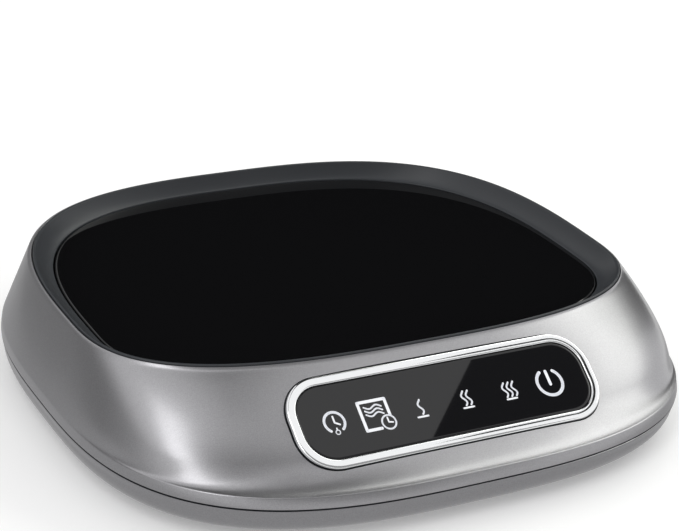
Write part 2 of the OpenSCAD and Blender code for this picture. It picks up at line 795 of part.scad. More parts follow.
module pan_screws() {
    color("gainsboro") for (angle = pan_ear_angles) translate([0, plate_y, pan_z]) rotate(angle) {
        translate([pan_ear_reach, 0, 0]) screw(small_screw_d, deck_bottom - pan_z, small_head_d, small_head_h);
    }
}

module heater_terminals() {
    color("goldenrod") for (x = [-1, 1]) translate([x * terminal_x, terminal_y, pan_z - terminal_tail]) {
        cylinder(d = terminal_d, h = track_z - pan_z + terminal_tail);
    }
}

module thermistor() {
    color("slategray") translate([probe_at[0], probe_at[1], pan_z - collar_t]) {
        cylinder(d = probe_d, h = lower_mica_z - pan_z + collar_t);
        cylinder(d = 2 * probe_d, h = collar_t);
    }
}

module thermal_fuse() {
    axis_z = pan_z - thermal_fuse_d / 2;
    color("silver") translate([thermal_fuse_at[0], thermal_fuse_at[1], axis_z]) rotate([0, 90, 0]) {
        cylinder(d = thermal_fuse_d, h = thermal_fuse_l, center = true);
        cylinder(d = 1, h = thermal_fuse_l + 2 * fuse_lead, center = true);
    }
}

// A sprung strap round the thermal fuse, with a foot on each side
module fuse_clip() {
    strap = 0.5;
    strap_w = 5;
    foot_l = 4;
    drop = thermal_fuse_d / 2;
    hug = drop + eps;
    color("gainsboro") translate([thermal_fuse_at[0] - strap_w / 2, thermal_fuse_at[1], pan_z - drop]) {
        rotate([90, 0, 90]) linear_extrude(strap_w) {
            difference() {
                union() {
                    circle(drop + strap);
                    translate([-drop - strap, 0]) square([2 * (drop + strap), drop]);
                }
                circle(hug);
                translate([-hug, 0]) square([2 * hug, drop + 1]);
            }
            for (side = [-1, 1]) translate([side > 0 ? drop : -drop - foot_l, drop - strap]) square([foot_l, strap]);
        }
    }
}

module panel_bezel() {
    round_r = 0.7;
    steps = 8;
    inner_w = lens_w + 2 * lens_fit;
    inner_h = lens_h + 2 * lens_fit;
    color([0.95, 0.95, 0.96]) panel_frame() loft_loop(concat(
        [round_rect_ring(bezel_w, bezel_h, bezel_r, -bezel_seat, steps)],
        [for (a = [0, 30, 60, 90]) let (in = round_r * (1 - cos(a)))
            round_rect_ring(bezel_w - 2 * in, bezel_h - 2 * in, bezel_r - in, round_r * (sin(a) - 1), steps)],
        [for (a = [90, 60, 30, 0]) let (out = round_r * (1 - cos(a)))
            round_rect_ring(inner_w + 2 * out, inner_h + 2 * out, lens_r + out, round_r * (sin(a) - 1), steps)],
        [round_rect_ring(inner_w, inner_h, lens_r, -bezel_seat, steps)]));
}

module touch_lens() {
    color([0.05, 0.05, 0.06]) panel_frame() translate([0, 0, -bezel_seat]) {
        linear_extrude(bezel_seat - lens_drop) round_rect(lens_w, lens_h, lens_r);
    }
}

module light_guide() {
    flange_t = 1;
    color("white") panel_frame() difference() {
        union() {
            translate([0, 0, guide_back]) linear_extrude(guide_h) {
                round_rect(window_w - 2 * guide_fit, window_h - 2 * guide_fit, window_r - guide_fit);
            }
            translate([0, -control_drop, guide_back]) linear_extrude(flange_t) {
                round_rect(window_w + 1, control_h - 1, window_r);
            }
        }
        for (x = key_places) translate([x, -key_drop, guide_back - 1]) cylinder(d = well_d, h = guide_h + 2);
    }
}

module touch_springs() {
    steps = 34;
    coil = helix(spring_turns, spring_d / 2, guide_back + spring_wire / 2, -bezel_seat - spring_wire / 2, steps);
    color("gold") panel_frame() for (x = key_places) translate([x, -key_drop, 0]) {
        loft_solid(wire_rings(coil, spring_wire / 2, 5, [0, 0, 1]));
    }
}

module icon_leds() {
    color("lightyellow") panel_frame() for (x = key_places) {
        translate([x - led_size[0] / 2, -key_drop - led_size[1] / 2, guide_back]) cube(led_size);
    }
}

module control_board() {
    color("darkgreen") panel_frame() translate([0, -control_drop, control_back]) {
        linear_extrude(board_t) difference() {
            round_rect(control_w, control_h, 1.5);
            for (x = [-1, 1]) translate([x * control_post_x, 0]) circle(d = small_screw_d + 2 * screw_fit);
        }
    }
}

module touch_controller() {
    color([0.1, 0.1, 0.1]) panel_frame() {
        translate([control_chip_x, -control_drop - control_chip[1] / 2, control_back - control_chip[2]]) {
            cube(control_chip);
        }
    }
}

module control_connector() {
    color("ivory") panel_frame() {
        translate([ribbon_x - plug_size[0] / 2, -control_drop - plug_size[1] / 2, control_back - plug_size[2]]) {
            cube(plug_size);
        }
    }
}

module control_screws() {
    color("gainsboro") panel_frame() for (x = [-1, 1]) translate([x * control_post_x, -control_drop, control_back]) {
        screw(small_screw_d, board_t + 1.8, small_head_d, small_head_h);
    }
}

module power_board() {
    color("darkgreen") difference() {
        translate([-power_w / 2, power_front, power_z]) cube([power_w, power_d, board_t]);
        for (p = post_places) translate([p[0], p[1], power_z - 1]) {
            cylinder(d = small_screw_d + 2 * screw_fit, h = board_t + 2);
        }
    }
}

module power_screws() {
    color("gainsboro") for (p = post_places) translate([p[0], p[1], power_top]) rotate([180, 0, 0]) {
        screw(small_screw_d, board_t + post_h - 0.4, small_head_d, small_head_h);
    }
}

// A block standing on the power board, by the middle of its foot
module board_block(at, size) {
    translate([at[0] - size[0] / 2, power_y + at[1] - size[1] / 2, power_top]) cube(size);
}

module film_capacitor() {
    color("gold") board_block([-tall_part_x - film_size[0] / 2, film_line], film_size);
}

module smoothing_capacitor() {
    color("midnightblue") {
        translate([tall_part_x + smoothing_d / 2, power_y + smoothing_line, power_top + smoothing_d / 2]) {
            rotate([-90, 0, 0]) cylinder(d = smoothing_d, h = smoothing_l);
        }
    }
}

module drum_inductor() {
    color([0.2, 0.2, 0.22]) translate([inductor_at[0], power_y + inductor_at[1], power_top]) {
        cylinder(d = inductor_d, h = inductor_flange);
        cylinder(d = inductor_d * 0.7, h = inductor_h);
        translate([0, 0, inductor_h - inductor_flange]) cylinder(d = inductor_d, h = inductor_flange);
    }
}

module bridge_rectifier() {
    color([0.12, 0.12, 0.12]) board_block(rectifier_at, rectifier_size);
}

module triac() {
    tab_at = triac_at + [0, (triac_size[1] + triac_tab[1]) / 2];
    pin_at = triac_at - [0, (triac_size[1] + triac_pin[1]) / 2];
    color([0.15, 0.15, 0.15]) board_block(triac_at, triac_size);
    color("silver") difference() {
        board_block(tab_at, triac_tab);
        translate([tab_at[0], power_y + tab_at[1], power_top - 1]) cylinder(d = tab_hole_d, h = triac_tab[2] + 2);
    }
    color("silver") for (side = [-1, 0, 1]) board_block(pin_at + [side * triac_pitch, 0], triac_pin);
}

module power_chip() {
    color([0.12, 0.12, 0.12]) board_block(chip_at, chip_size);
}

module line_fuse() {
    axis_z = power_top + fuse_lift + glass_fuse_d / 2;
    color("aliceblue") translate([fuse_at[0], fuse_at[1], axis_z]) rotate([0, 90, 0]) {
        cylinder(d = glass_fuse_d - 0.4, h = glass_fuse_l - 2, center = true);
        for (side = [-1, 1]) translate([0, 0, side * (glass_fuse_l - fuse_cap_l) / 2]) {
            cylinder(d = glass_fuse_d, h = fuse_cap_l, center = true);
        }
    }
}

module fuse_holders() {
    clip = [fuse_clip_l, glass_fuse_d + 1, glass_fuse_d * 0.75 + fuse_lift];
    clip_x = (glass_fuse_l - fuse_cap_l) / 2;
    axis_z = power_top + fuse_lift + glass_fuse_d / 2;
    color("gainsboro") for (side = [-1, 1]) difference() {
        board_block([fuse_at[0] + side * clip_x, fuse_at[1] - power_y], clip);
        translate([fuse_at[0], fuse_at[1], axis_z]) rotate([0, 90, 0]) {
            cylinder(d = glass_fuse_d, h = 2 * glass_fuse_l, center = true);
        }
    }
}

module mains_terminal() {
    line = power_d / 2 - terminal_at[1];
    color("forestgreen") difference() {
        board_block([terminal_at[0], line], terminal_size);
        for (side = [-1, 0, 1]) {
            translate([terminal_at[0] + side * terminal_pitch, power_y + line, power_top + terminal_size[2] * 0.4]) {
                rotate([-90, 0, 0]) cylinder(d = terminal_hole_d, h = terminal_size[1]);
            }
        }
    }
}

// A wire socket at the power board's front edge
module front_socket(x, w, h) {
    board_block([x, socket_y - power_y], [w, socket_d, h]);
}

module heater_socket() {
    color("ivory") front_socket(0, heater_socket_w, socket_h);
}

module sensor_socket() {
    color("ivory") front_socket(sensor_x, sensor_socket_w, socket_h - 1);
}

module ribbon_socket() {
    color("ivory") front_socket(ribbon_x, plug_size[0], socket_h);
}

// One lead goes straight to the board, and the other one passes through the thermal fuse
module heater_leads() {
    drop = [0, 0, -3];
    tip_z = pan_z - terminal_tail;
    fuse_end = (thermal_fuse_l / 2 + fuse_lead) * [1, 0, 0];
    fuse_axis = [thermal_fuse_at[0], thermal_fuse_at[1], pan_z - thermal_fuse_d / 2];
    lead_z = power_top + socket_h / 2;
    beside_socket = [heater_socket_w / 2 + 4, socket_y, lead_z];
    fuse_swing = [9, -6, 0];
    color("white") {
        wire(lead_path([-terminal_x, terminal_y, tip_z], drop, [-3, socket_y - socket_d / 2, lead_z], [0, -4, 0], 9),
            wire_d, [1, 0, 0]);
        wire(concat(
            lead_path([terminal_x, terminal_y, tip_z], drop, beside_socket, [0, -7, 0], 9),
            curve_points([beside_socket + [0, 1, 0], beside_socket + [0, 9, 0],
                fuse_axis + fuse_end + fuse_swing, fuse_axis + fuse_end + [0.3, 0, 0]], 9),
            [fuse_axis + fuse_end]), wire_d, [1, 0, 1]);
        wire(lead_path(fuse_axis - fuse_end, [-4, 0, 0], [3, socket_y + socket_d / 2, lead_z], [0, 4, 0], 9),
            wire_d, [0, 0, 1]);
    }
}

module sensor_leads() {
    spread = 1.3;
    lead_z = power_top + socket_h / 2 - 0.6;
    color("firebrick") for (x = [-1, 1]) {
        wire(lead_path([probe_at[0] + x * spread, probe_at[1], pan_z - collar_t], [0, 0, -2.4],
            [sensor_x + x * spread, socket_y + socket_d / 2, lead_z], [0, 9, 0], 10), wire_d, [1, 0, 0]);
    }
}

// The ribbon between the two boards, as a strip along a curve in the YZ plane
module ribbon_cable() {
    out = [sin(panel_tilt), -cos(panel_tilt)];
    depth = -control_back + plug_size[2] - panel_proud;
    start = [panel_y, panel_h] + depth * out - control_drop * [cos(panel_tilt), sin(panel_tilt)];
    end = [socket_y - socket_d / 2, power_top + socket_h / 2];
    path = lead_path(start, 4 * out, end, [-12, 0], 14);
    last = len(path) - 1;
    sides = [for (s = [-1, 1]) [for (k = [0 : last])
        let (ahead = unit(path[min(k + 1, last)] - path[max(k - 1, 0)]))
        path[k] + s * ribbon_t / 2 * [-ahead[1], ahead[0]]]];
    color("lightgray") translate([ribbon_x - ribbon_w / 2, 0, 0]) rotate([90, 0, 90]) linear_extrude(ribbon_w) {
        polygon(concat(sides[0], [for (k = [last : -1 : 0]) sides[1][k]]));
    }
}

upper_shell();
inner_tray();
base_pan();
rubber_feet();
housing_screws();
tray_screws();
cord_gland();
glass_plate();
plate_gasket();
heat_spreader();
upper_mica();
heater_track();
lower_mica();
insulation_pad();
heater_pan();
pan_screws();
heater_terminals();
thermistor();
thermal_fuse();
fuse_clip();
panel_bezel();
touch_lens();
light_guide();
touch_springs();
icon_leds();
control_board();
touch_controller();
control_connector();
control_screws();
power_board();
power_screws();
film_capacitor();
smoothing_capacitor();
drum_inductor();
bridge_rectifier();
triac();
power_chip();
line_fuse();
fuse_holders();
mains_terminal();
heater_socket();
sensor_socket();
ribbon_socket();
heater_leads();
sensor_leads();
ribbon_cable();
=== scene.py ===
"""Looks of the electric mug warmer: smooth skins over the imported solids, finishes, camera and studio.

Shapes are worked out in millimetres from part.scad's driving dimensions, with finer edges, and become
metres in new_mesh(). The touch panel faces -Y. The outlines lie around the middle at (0, MID_Y).
"""

import json
import math

import bpy
import numpy as np
from mathutils import Matrix, Vector


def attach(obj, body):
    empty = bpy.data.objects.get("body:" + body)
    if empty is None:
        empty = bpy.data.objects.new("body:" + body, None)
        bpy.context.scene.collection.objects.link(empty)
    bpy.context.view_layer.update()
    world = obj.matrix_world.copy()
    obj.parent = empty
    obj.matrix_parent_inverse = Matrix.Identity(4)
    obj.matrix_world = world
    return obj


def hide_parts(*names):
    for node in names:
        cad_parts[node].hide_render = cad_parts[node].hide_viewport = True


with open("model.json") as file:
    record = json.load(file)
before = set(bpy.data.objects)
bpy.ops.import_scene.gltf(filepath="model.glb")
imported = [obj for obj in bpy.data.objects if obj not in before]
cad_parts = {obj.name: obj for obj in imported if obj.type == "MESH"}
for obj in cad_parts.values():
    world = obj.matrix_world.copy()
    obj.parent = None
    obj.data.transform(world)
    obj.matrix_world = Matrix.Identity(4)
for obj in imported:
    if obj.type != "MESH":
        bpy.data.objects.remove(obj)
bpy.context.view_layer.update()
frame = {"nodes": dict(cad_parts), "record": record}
record = frame["record"]
MM = 0.001

# ---------------------------------------------------------------- housing, in mm
BODY_W = 150.0
FRONT_DEPTH = 64.0
BACK_DEPTH = 70.0
SQUARE = 2.95  # exponent of the outline, where 2 is an ellipse
RIM_SQUARE = 2.85
FLATNESS = 0.8  # what the front's exponent gains half way up
WALL = 2.2
FLOOR_T = 2.2
GROUND_GAP = 1.5
EDGE_R = 5.4  # round between the base's floor and its side
EDGE_INSET = 0.5  # how far that round's upper end lies inside the parting
PARTING_H = 8.9
PARTING_GAP = 0.4
PARTING_R = 0.2  # round of both edges at the parting
REBATE_INSET, REBATE_H = 1.0, 1.2  # step inside the shell's foot
TONGUE_INSET, TONGUE_H = 1.2, 1.0  # ridge of the base that stands in it
BELT_H = 2.4  # from the parting up to the crease
BELT_LEAN, BELT_LEAN_FRONT = 0.2, 1.0
CREASE_BEND = 0.3
CREASE_DIP = 0.13  # depth of the shallow dip inside the front's crease
DIP_RUN = 6.0  # and its width
SIDE_RUN, FRONT_RUN, BACK_RUN = 5.2, 27.3, 3.1  # how far the slope leans in
FLARE_SLOPE = 0.05  # the front's slope at the crease
LIP_ROUND = 0.8  # height of the roll from the slope to the rim
LIP_LAND = 1.0  # width of the roll and the rim
LIP_DEPTH = 3.4  # height of the opening's upright edge
LIP_EDGE_R = 0.12
SKIN_ROWS = 90
INNER_SHARES, INNER_DROP = (0.7, 0.45, 0.2), 1.2  # where the shell's hidden inside follows its skin

# ---------------------------------------------------------------- tray and plate, in mm
PLATE_TOP = 24.3
PLATE_T = 4.0
PLATE_FIT = 0.3
PLATE_ROUND = 0.6
GASKET_T = 0.8
DECK_T = 2.0
SKIRT_T = 2.2
RECESS_DEPTH = 3.5
TRAY_PROUD = 0.4
TRAY_FIT = 0.15
TRAY_ROUND = 0.35
TRAY_LAND = 0.7  # thin raised edge outside the hollow wall
TRAY_LAND_DROP = 0.15  # its fall towards the inside
COVE_SIDE, COVE_FRONT, COVE_BACK = 5.2, 4.2, 3.0
COVE_BOW = 1.6
COVE_END = 0.97  # share of the hollow wall at which it meets the pocket
WELL_MARGIN = 5.25  # from the plate's outline to the round heater well

# ---------------------------------------------------------------- panel, in mm
TILT = math.radians(35)
PANEL_DROP = 8.2
PANEL_PROUD = 0.3
BEZEL_W, BEZEL_H, BEZEL_R = 76.1, 21.6, 8.8
BEZEL_RIM = 2.2
BEZEL_SEAT = 1.6
BEZEL_GAP = 0.3  # wider than in part.scad, for the dark line that the photo shows
BEZEL_ROUND = 0.5
BEZEL_INNER_ROUND = 0.3
BEZEL_INNER_GAP = 0.1
LENS_DROP = 0.3
PRINT_H = 0.012  # of the symbols above the lens

# ---------------------------------------------------------------- openings in the base, in mm
COLUMN_D = 7.2
COLUMN_MEETS = ((42, 0.2), (138, 0.2), (215, 0.4), (325, 0.4))  # degrees, and share of the slope met there
SCREW_HOLE_R, SCREW_HOLE_DEPTH = 3.0, 3.0
FOOT_X, FOOT_FRONT, FOOT_BACK = 38, 45, 50  # from the middle
FOOT_D, FOOT_SINK = 12.0, 0.6  # and the depth of the feet's pockets
VENT_W, VENT_L = 1.6, 16
VENT_COUNT, VENT_PITCH = 7, 6
VENT_FRONT, VENT_BACK = 26, 53  # their rows, from the middle
GLAND_R = 4.2
GLAND_FIT = 0.15
GLAND_SINK = 0.2  # of its face into the housing
GLAND_OUT, GLAND_IN = 2, 10  # how far its hole reaches past its face, outwards and inwards
BELOW = -1  # where cuts from below start

# ---------------------------------------------------------------- worked out from these
MID_Y = (FRONT_DEPTH - BACK_DEPTH) / 2
CREASE_H = PARTING_H + BELT_H
FLOOR_Z = GROUND_GAP + FLOOR_T
RIM_H = PLATE_TOP + RECESS_DEPTH
LIP_H = RIM_H - LIP_ROUND
TRAY_TOP = RIM_H + TRAY_PROUD
PLATE_BOTTOM = PLATE_TOP - PLATE_T
DECK_TOP = PLATE_BOTTOM - GASKET_T
DECK_BOTTOM = DECK_TOP - DECK_T
SLOPE = math.tan(TILT)
FLARE_RUN = 2 * (SLOPE * FRONT_RUN - (LIP_H - CREASE_H)) / (SLOPE - FLARE_SLOPE)
FLARE_RISE = FLARE_RUN * (SLOPE + FLARE_SLOPE) / 2
LENS_W, LENS_H, LENS_R = BEZEL_W - 2 * BEZEL_RIM, BEZEL_H - 2 * BEZEL_RIM, BEZEL_R - BEZEL_RIM
GLAND_Y = MID_Y + BACK_DEPTH - GLAND_SINK

SEGMENTS = 720
ANGLES = np.arange(SEGMENTS) * 2 * math.pi / SEGMENTS
SHARP = math.radians(35)  # edges that bend more than this aren't shaded smooth


# ---------------------------------------------------------------- outlines
# An outline is (half width, front depth, back depth, front exponent, back exponent).
def inset(size, by):
    """The outline moved inwards, or outwards by a negative distance."""
    return (size[0] - by, size[1] - by, size[2] - by, size[3], size[4])


def narrowed(size, side, front, back, square):
    return (size[0] - side, size[1] - front, size[2] - back, square, square)


def between(a, b, share):
    return tuple(u + (v - u) * share for u, v in zip(a, b))


PARTING = (BODY_W / 2, FRONT_DEPTH, BACK_DEPTH, SQUARE, SQUARE)
CREASE = narrowed(PARTING, BELT_LEAN, BELT_LEAN_FRONT, BELT_LEAN, SQUARE)
LIP = narrowed(CREASE, SIDE_RUN, FRONT_RUN, BACK_RUN, RIM_SQUARE)
OPENING = inset(LIP, LIP_LAND)
TRAY = inset(OPENING, TRAY_FIT)
PLATE = narrowed(TRAY, COVE_SIDE, COVE_FRONT, COVE_BACK, RIM_SQUARE)
POCKET = inset(PLATE, -PLATE_FIT)
SKIRT = inset(POCKET, -SKIRT_T)
PLATE_Y = MID_Y + (PLATE[2] - PLATE[1]) / 2
WELL_R = (PLATE[1] + PLATE[2]) / 2 - WELL_MARGIN


def reach(size, angle):
    """Distance from the middle to an outline, whose values may be arrays with one entry per angle."""
    front = np.sin(angle) < 0
    depth = np.where(front, size[1], size[2])
    square = np.where(front, size[3], size[4])
    total = (np.abs(np.cos(angle)) / size[0]) ** square + (np.abs(np.sin(angle)) / depth) ** square
    return total ** (-1 / square)


def outline(size, z):
    """One row of a profile: the outline as (radius, height) for all angles."""
    return np.array([reach(size, ANGLES), z + 0 * ANGLES])


def front_inset(rise):
    """How far the front leans in at a height above the crease: a flare, then the straight slope."""
    rise = np.maximum(rise, 0)
    gain = SLOPE - FLARE_SLOPE
    flare = (np.sqrt(FLARE_SLOPE ** 2 + 2 * gain * rise / FLARE_RUN) - FLARE_SLOPE) * FLARE_RUN / gain
    return np.where(rise < FLARE_RISE, flare, FLARE_RUN + (rise - FLARE_RISE) / SLOPE)


def skin(share, angle):
    """The shell's skin as (radius, height), from the crease at 0 to the lip at 1."""
    rise = (LIP_H - CREASE_H) * share
    square = SQUARE + (RIM_SQUARE - SQUARE) * share
    front_square = square + FLATNESS * 4 * share * (1 - share)
    size = (CREASE[0] - SIDE_RUN * share, CREASE[1] - front_inset(rise), CREASE[2] - BACK_RUN * share,
            front_square, square)
    return np.array([reach(size, angle), CREASE_H + rise + 0 * angle])


def dipped(row):
    """A row of the skin, lowered a little inside the front's crease, where the photo shows a dark line."""
    radius, height = row
    run = np.clip((reach(CREASE, ANGLES) - radius) / DIP_RUN, 0, 1)
    highest = 4 / 27  # of the curve below
    dip = CREASE_DIP / highest * run * (1 - run) ** 2
    return np.array([radius, height - dip * np.clip(-np.sin(ANGLES), 0, 1)])


def bend(a, corner, b, steps):
    """Rows of a rounded corner from a to b."""
    return [(1 - t) ** 2 * a + 2 * t * (1 - t) * corner + t * t * b for t in np.linspace(0, 1, steps)]


def unit(v):
    return v / np.linalg.norm(v, axis=0)


PANEL_H = RIM_H - PANEL_DROP
PANEL_Y = MID_Y - CREASE[1] + float(front_inset(np.array(PANEL_H - CREASE_H)))


def on_panel(points):
    """Points in the panel's own frame, where z leaves the face, taken to the row's frame."""
    x, y, z = np.asarray(points, dtype=float).T
    z = z + PANEL_PROUD
    return np.stack([x, PANEL_Y + y * math.cos(TILT) - z * math.sin(TILT),
                     PANEL_H + y * math.sin(TILT) + z * math.cos(TILT)], axis=1)


# ---------------------------------------------------------------- meshes
# A form is (points in mm, faces).
def to_rings(profile, centre_y=MID_Y):
    """Rings of points from a profile's rows."""
    return [np.stack([r * np.cos(ANGLES), centre_y + r * np.sin(ANGLES), z], axis=1) for r, z in profile]


def rounded(w, h, r, z, steps=24):
    """A ring along a rectangle with round corners."""
    points = []
    for cx, cy, start in ((1, 1, 0), (-1, 1, 90), (-1, -1, 180), (1, -1, 270)):
        for k in range(steps + 1):
            a = math.radians(start + 90 * k / steps)
            points.append((cx * (w / 2 - r) + r * math.cos(a), cy * (h / 2 - r) + r * math.sin(a), z))
    return np.array(points)


def circle(x, y, r, sides):
    turns = [2 * math.pi * k / sides for k in range(sides)]
    return [(x + r * math.cos(a), y + r * math.sin(a)) for a in turns]


def loft(rings, loop=False):
    """Form of a skin through rings; a loop joins the last ring to the first, else both ends close."""
    count, sides = len(rings), len(rings[0])
    faces = []
    for k in range(count if loop else count - 1):
        a, b = k * sides, (k + 1) % count * sides
        faces += [(a + i, a + (i + 1) % sides, b + (i + 1) % sides, b + i) for i in range(sides)]
    if not loop:
        faces.append(tuple(range(sides))[::-1])
        faces.append(tuple((count - 1) * sides + i for i in range(sides)))
    return np.concatenate(rings), faces


def cylinder(x, y, r, low, high, sides=64):
    ring = circle(x, y, r, sides)
    return loft([np.array([(u, v, z) for u, v in ring]) for z in (low, high)])


def new_mesh(name, form):
    points, faces = form
    mesh = bpy.data.meshes.new(name)
    mesh.from_pydata((np.asarray(points) * MM).tolist(), [], faces)
    mesh.validate()
    mesh.shade_smooth()
    mesh.set_sharp_from_angle(angle=SHARP)
    piece = bpy.data.objects.new(name, mesh)
    bpy.context.collection.objects.link(piece)
    return piece


def add_mesh(name, form, replaces=()):
    """A new piece of the object, which may stand for CAD nodes."""
    piece = new_mesh(name, form)
    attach(piece, "root")
    if replaces:
        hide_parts(*replaces)
    return piece


def cut(piece, forms):
    """Cuts closed forms out of a piece, which keeps its own shading where it isn't cut."""
    cutters = []
    for index, form in enumerate(forms):
        cutter = new_mesh(f"cutter_{index}", form)
        modifier = piece.modifiers.new(f"cut_{index}", "BOOLEAN")
        modifier.operation = "DIFFERENCE"
        modifier.solver = "MANIFOLD"
        modifier.object = cutter
        cutters.append(cutter)
    bpy.context.view_layer.update()
    result = bpy.data.meshes.new_from_object(piece.evaluated_get(bpy.context.evaluated_depsgraph_get()))
    result.set_sharp_from_angle(angle=SHARP)
    piece.modifiers.clear()
    whole = piece.data
    piece.data = result
    bpy.data.meshes.remove(whole)
    for cutter in cutters:
        mesh = cutter.data
        bpy.data.objects.remove(cutter)
        bpy.data.meshes.remove(mesh)


# ---------------------------------------------------------------- shell
def crease_share(distance):
    """Share of the slope that lies a distance above the crease, for each angle, found by halving."""
    low, high = np.zeros(SEGMENTS), np.ones(SEGMENTS)
    start = skin(low, ANGLES)
    for _ in range(40):
        mid = (low + high) / 2
        near = np.linalg.norm(skin(mid, ANGLES) - start, axis=0) < distance
        low, high = np.where(near, mid, low), np.where(near, high, mid)
    return low


def rim_profile(before, end):
    """Rows over the rim, from the slope's last two rows to the opening's edge."""
    corner_gap, upright = 0.03, 1e-3
    climb = unit(end - before)
    across = LIP_LAND - LIP_EDGE_R - corner_gap
    travel = np.minimum((RIM_H - LIP_H) / climb[1], across / np.maximum(-climb[0], upright))
    top = outline(inset(LIP, LIP_LAND - LIP_EDGE_R), RIM_H)
    rows = bend(end, end + travel * climb, top, steps=8)[1:]
    rows += bend(top, outline(OPENING, RIM_H), outline(OPENING, RIM_H - LIP_EDGE_R), steps=4)[1:]
    rows.append(outline(OPENING, RIM_H - LIP_DEPTH))
    return rows


def shell_profile():
    """Rows up the outside, over the rim, down the inside and across the rebate."""
    foot = outline(PARTING, PARTING_H)
    crease = skin(np.zeros(SEGMENTS), ANGLES)
    belt = unit(crease - foot)
    start = crease_share(CREASE_BEND)
    rows = bend(outline(inset(PARTING, PARTING_R), PARTING_H), foot, foot + PARTING_R * belt, steps=4)
    rows += bend(crease - CREASE_BEND * belt, crease, dipped(skin(start, ANGLES)), steps=9)
    rows += [dipped(skin(start + (1 - start) * u ** 2, ANGLES)) for u in np.linspace(0, 1, SKIN_ROWS)[1:]]
    rows += rim_profile(rows[-2], rows[-1])
    for share in INNER_SHARES:
        radius, height = skin(np.full(SEGMENTS, share), ANGLES)
        rows.append(np.array([np.maximum(radius - WALL, reach(OPENING, ANGLES)), height - INNER_DROP]))
    rows.append(outline(inset(PARTING, WALL), PARTING_H + REBATE_H))
    rows.append(outline(inset(PARTING, REBATE_INSET), PARTING_H + REBATE_H))
    rows.append(outline(inset(PARTING, REBATE_INSET), PARTING_H))
    return rows


def panel_pocket():
    w, h, r = BEZEL_W + 2 * BEZEL_GAP, BEZEL_H + 2 * BEZEL_GAP, BEZEL_R + BEZEL_GAP
    past_face = 6
    return loft([on_panel(rounded(w, h, r, z)) for z in (-BEZEL_SEAT, past_face)])


def gland_hole():
    """The square hole of the cord gland, through the back of both halves."""
    side, corner_r = 2 * (GLAND_R + GLAND_FIT), 0.02
    rings = [rounded(side, side, corner_r, z, steps=1) for z in (-GLAND_OUT, GLAND_IN)]
    return loft([np.stack([ring[:, 0], GLAND_Y - ring[:, 2], PARTING_H + ring[:, 1]], axis=1)
                 for ring in rings])


def skin_normals(piece):
    """Exact normals on the slope round the panel, so that its cut leaves no trace in the shading."""
    mesh = piece.data
    points = np.array([v.co for v in mesh.vertices]) / MM
    angle = np.arctan2(points[:, 1] - MID_Y, points[:, 0])
    radius = np.hypot(points[:, 0], points[:, 1] - MID_Y)
    share = (points[:, 2] - CREASE_H) / (LIP_H - CREASE_H)
    step = 1e-4
    along_z = (skin(share + step, angle)[0] - skin(share - step, angle)[0]) / (2 * step * (LIP_H - CREASE_H))
    along_a = (skin(share, angle + step)[0] - skin(share, angle - step)[0]) / (2 * step)
    out = np.stack([np.cos(angle) + along_a / radius * np.sin(angle),
                    np.sin(angle) - along_a / radius * np.cos(angle), -along_z], axis=1)
    out /= np.linalg.norm(out, axis=1)[:, None]
    off_skin = np.abs(skin(share, angle)[0] - radius)
    lowest, highest, nearly, margin, front_from = 0.08, 0.97, 0.02, 4, 30
    on_slope = (share > lowest) & (share < highest) & (off_skin < nearly)
    near_panel = (np.abs(points[:, 0]) < BEZEL_W / 2 + margin) & (points[:, 1] < MID_Y - front_from)
    exact = on_slope & near_panel
    normals = [(0.0, 0.0, 0.0)] * len(mesh.loops)
    for face in mesh.polygons:
        corners = [mesh.loops[i].vertex_index for i in face.loop_indices]
        if exact[corners].all():
            for i, v in zip(face.loop_indices, corners):
                normals[i] = tuple(out[v])
    mesh.normals_split_custom_set(normals)


def make_shell():
    form = loft(to_rings(shell_profile()), loop=True)
    piece = add_mesh("shell_skin", form, replaces=["upper_shell"])
    cut(piece, [panel_pocket(), gland_hole()])
    skin_normals(piece)
    return piece


# ---------------------------------------------------------------- base
def lower_round(wall_inset, radius, floor, turns):
    """Rows of the quarter round between a floor, at a quarter turn, and a side, at 0."""
    return [outline(inset(PARTING, wall_inset + radius * (1 - math.cos(a))),
                    floor + radius * (1 - math.sin(a))) for a in turns]


def base_profile():
    """Rows from the underside up the outside, over the tongue and down to the inner floor."""
    flat_ring, straight = 0.4, 0.8
    rows = [outline(inset(PARTING, EDGE_INSET + EDGE_R + flat_ring), GROUND_GAP)]
    rows += lower_round(EDGE_INSET, EDGE_R, GROUND_GAP, np.linspace(math.pi / 2, 0, 22))
    top = PARTING_H - PARTING_GAP
    corner = outline(PARTING, top)
    start = rows[-1] + straight * unit(corner - rows[-1])
    rows += bend(start, corner, outline(inset(PARTING, PARTING_R), top), steps=5)
    rows.append(outline(inset(PARTING, TONGUE_INSET), top))
    rows.append(outline(inset(PARTING, TONGUE_INSET), PARTING_H + TONGUE_H))
    rows.append(outline(inset(PARTING, WALL), PARTING_H + TONGUE_H))
    rows += lower_round(WALL + EDGE_INSET, EDGE_R - WALL, FLOOR_Z, np.linspace(0, math.pi / 2, 6))
    return rows


def screw_holes():
    """Round holes under the housing screws, whose columns touch the shell's wall."""
    holes = []
    for degrees, meet in COLUMN_MEETS:
        angle = math.radians(degrees)
        wall_r = float(skin(np.array([meet]), np.array([angle]))[0][0])
        r = wall_r - WALL - COLUMN_D / 2
        x, y = r * math.cos(angle), MID_Y + r * math.sin(angle)
        holes.append(cylinder(x, y, SCREW_HOLE_R, BELOW, GROUND_GAP + SCREW_HOLE_DEPTH))
    return holes


def foot_pockets():
    lines = (MID_Y - FOOT_FRONT, MID_Y + FOOT_BACK)
    return [cylinder(x, y, FOOT_D / 2, BELOW, GROUND_GAP + FOOT_SINK)
            for y in lines for x in (-FOOT_X, FOOT_X)]


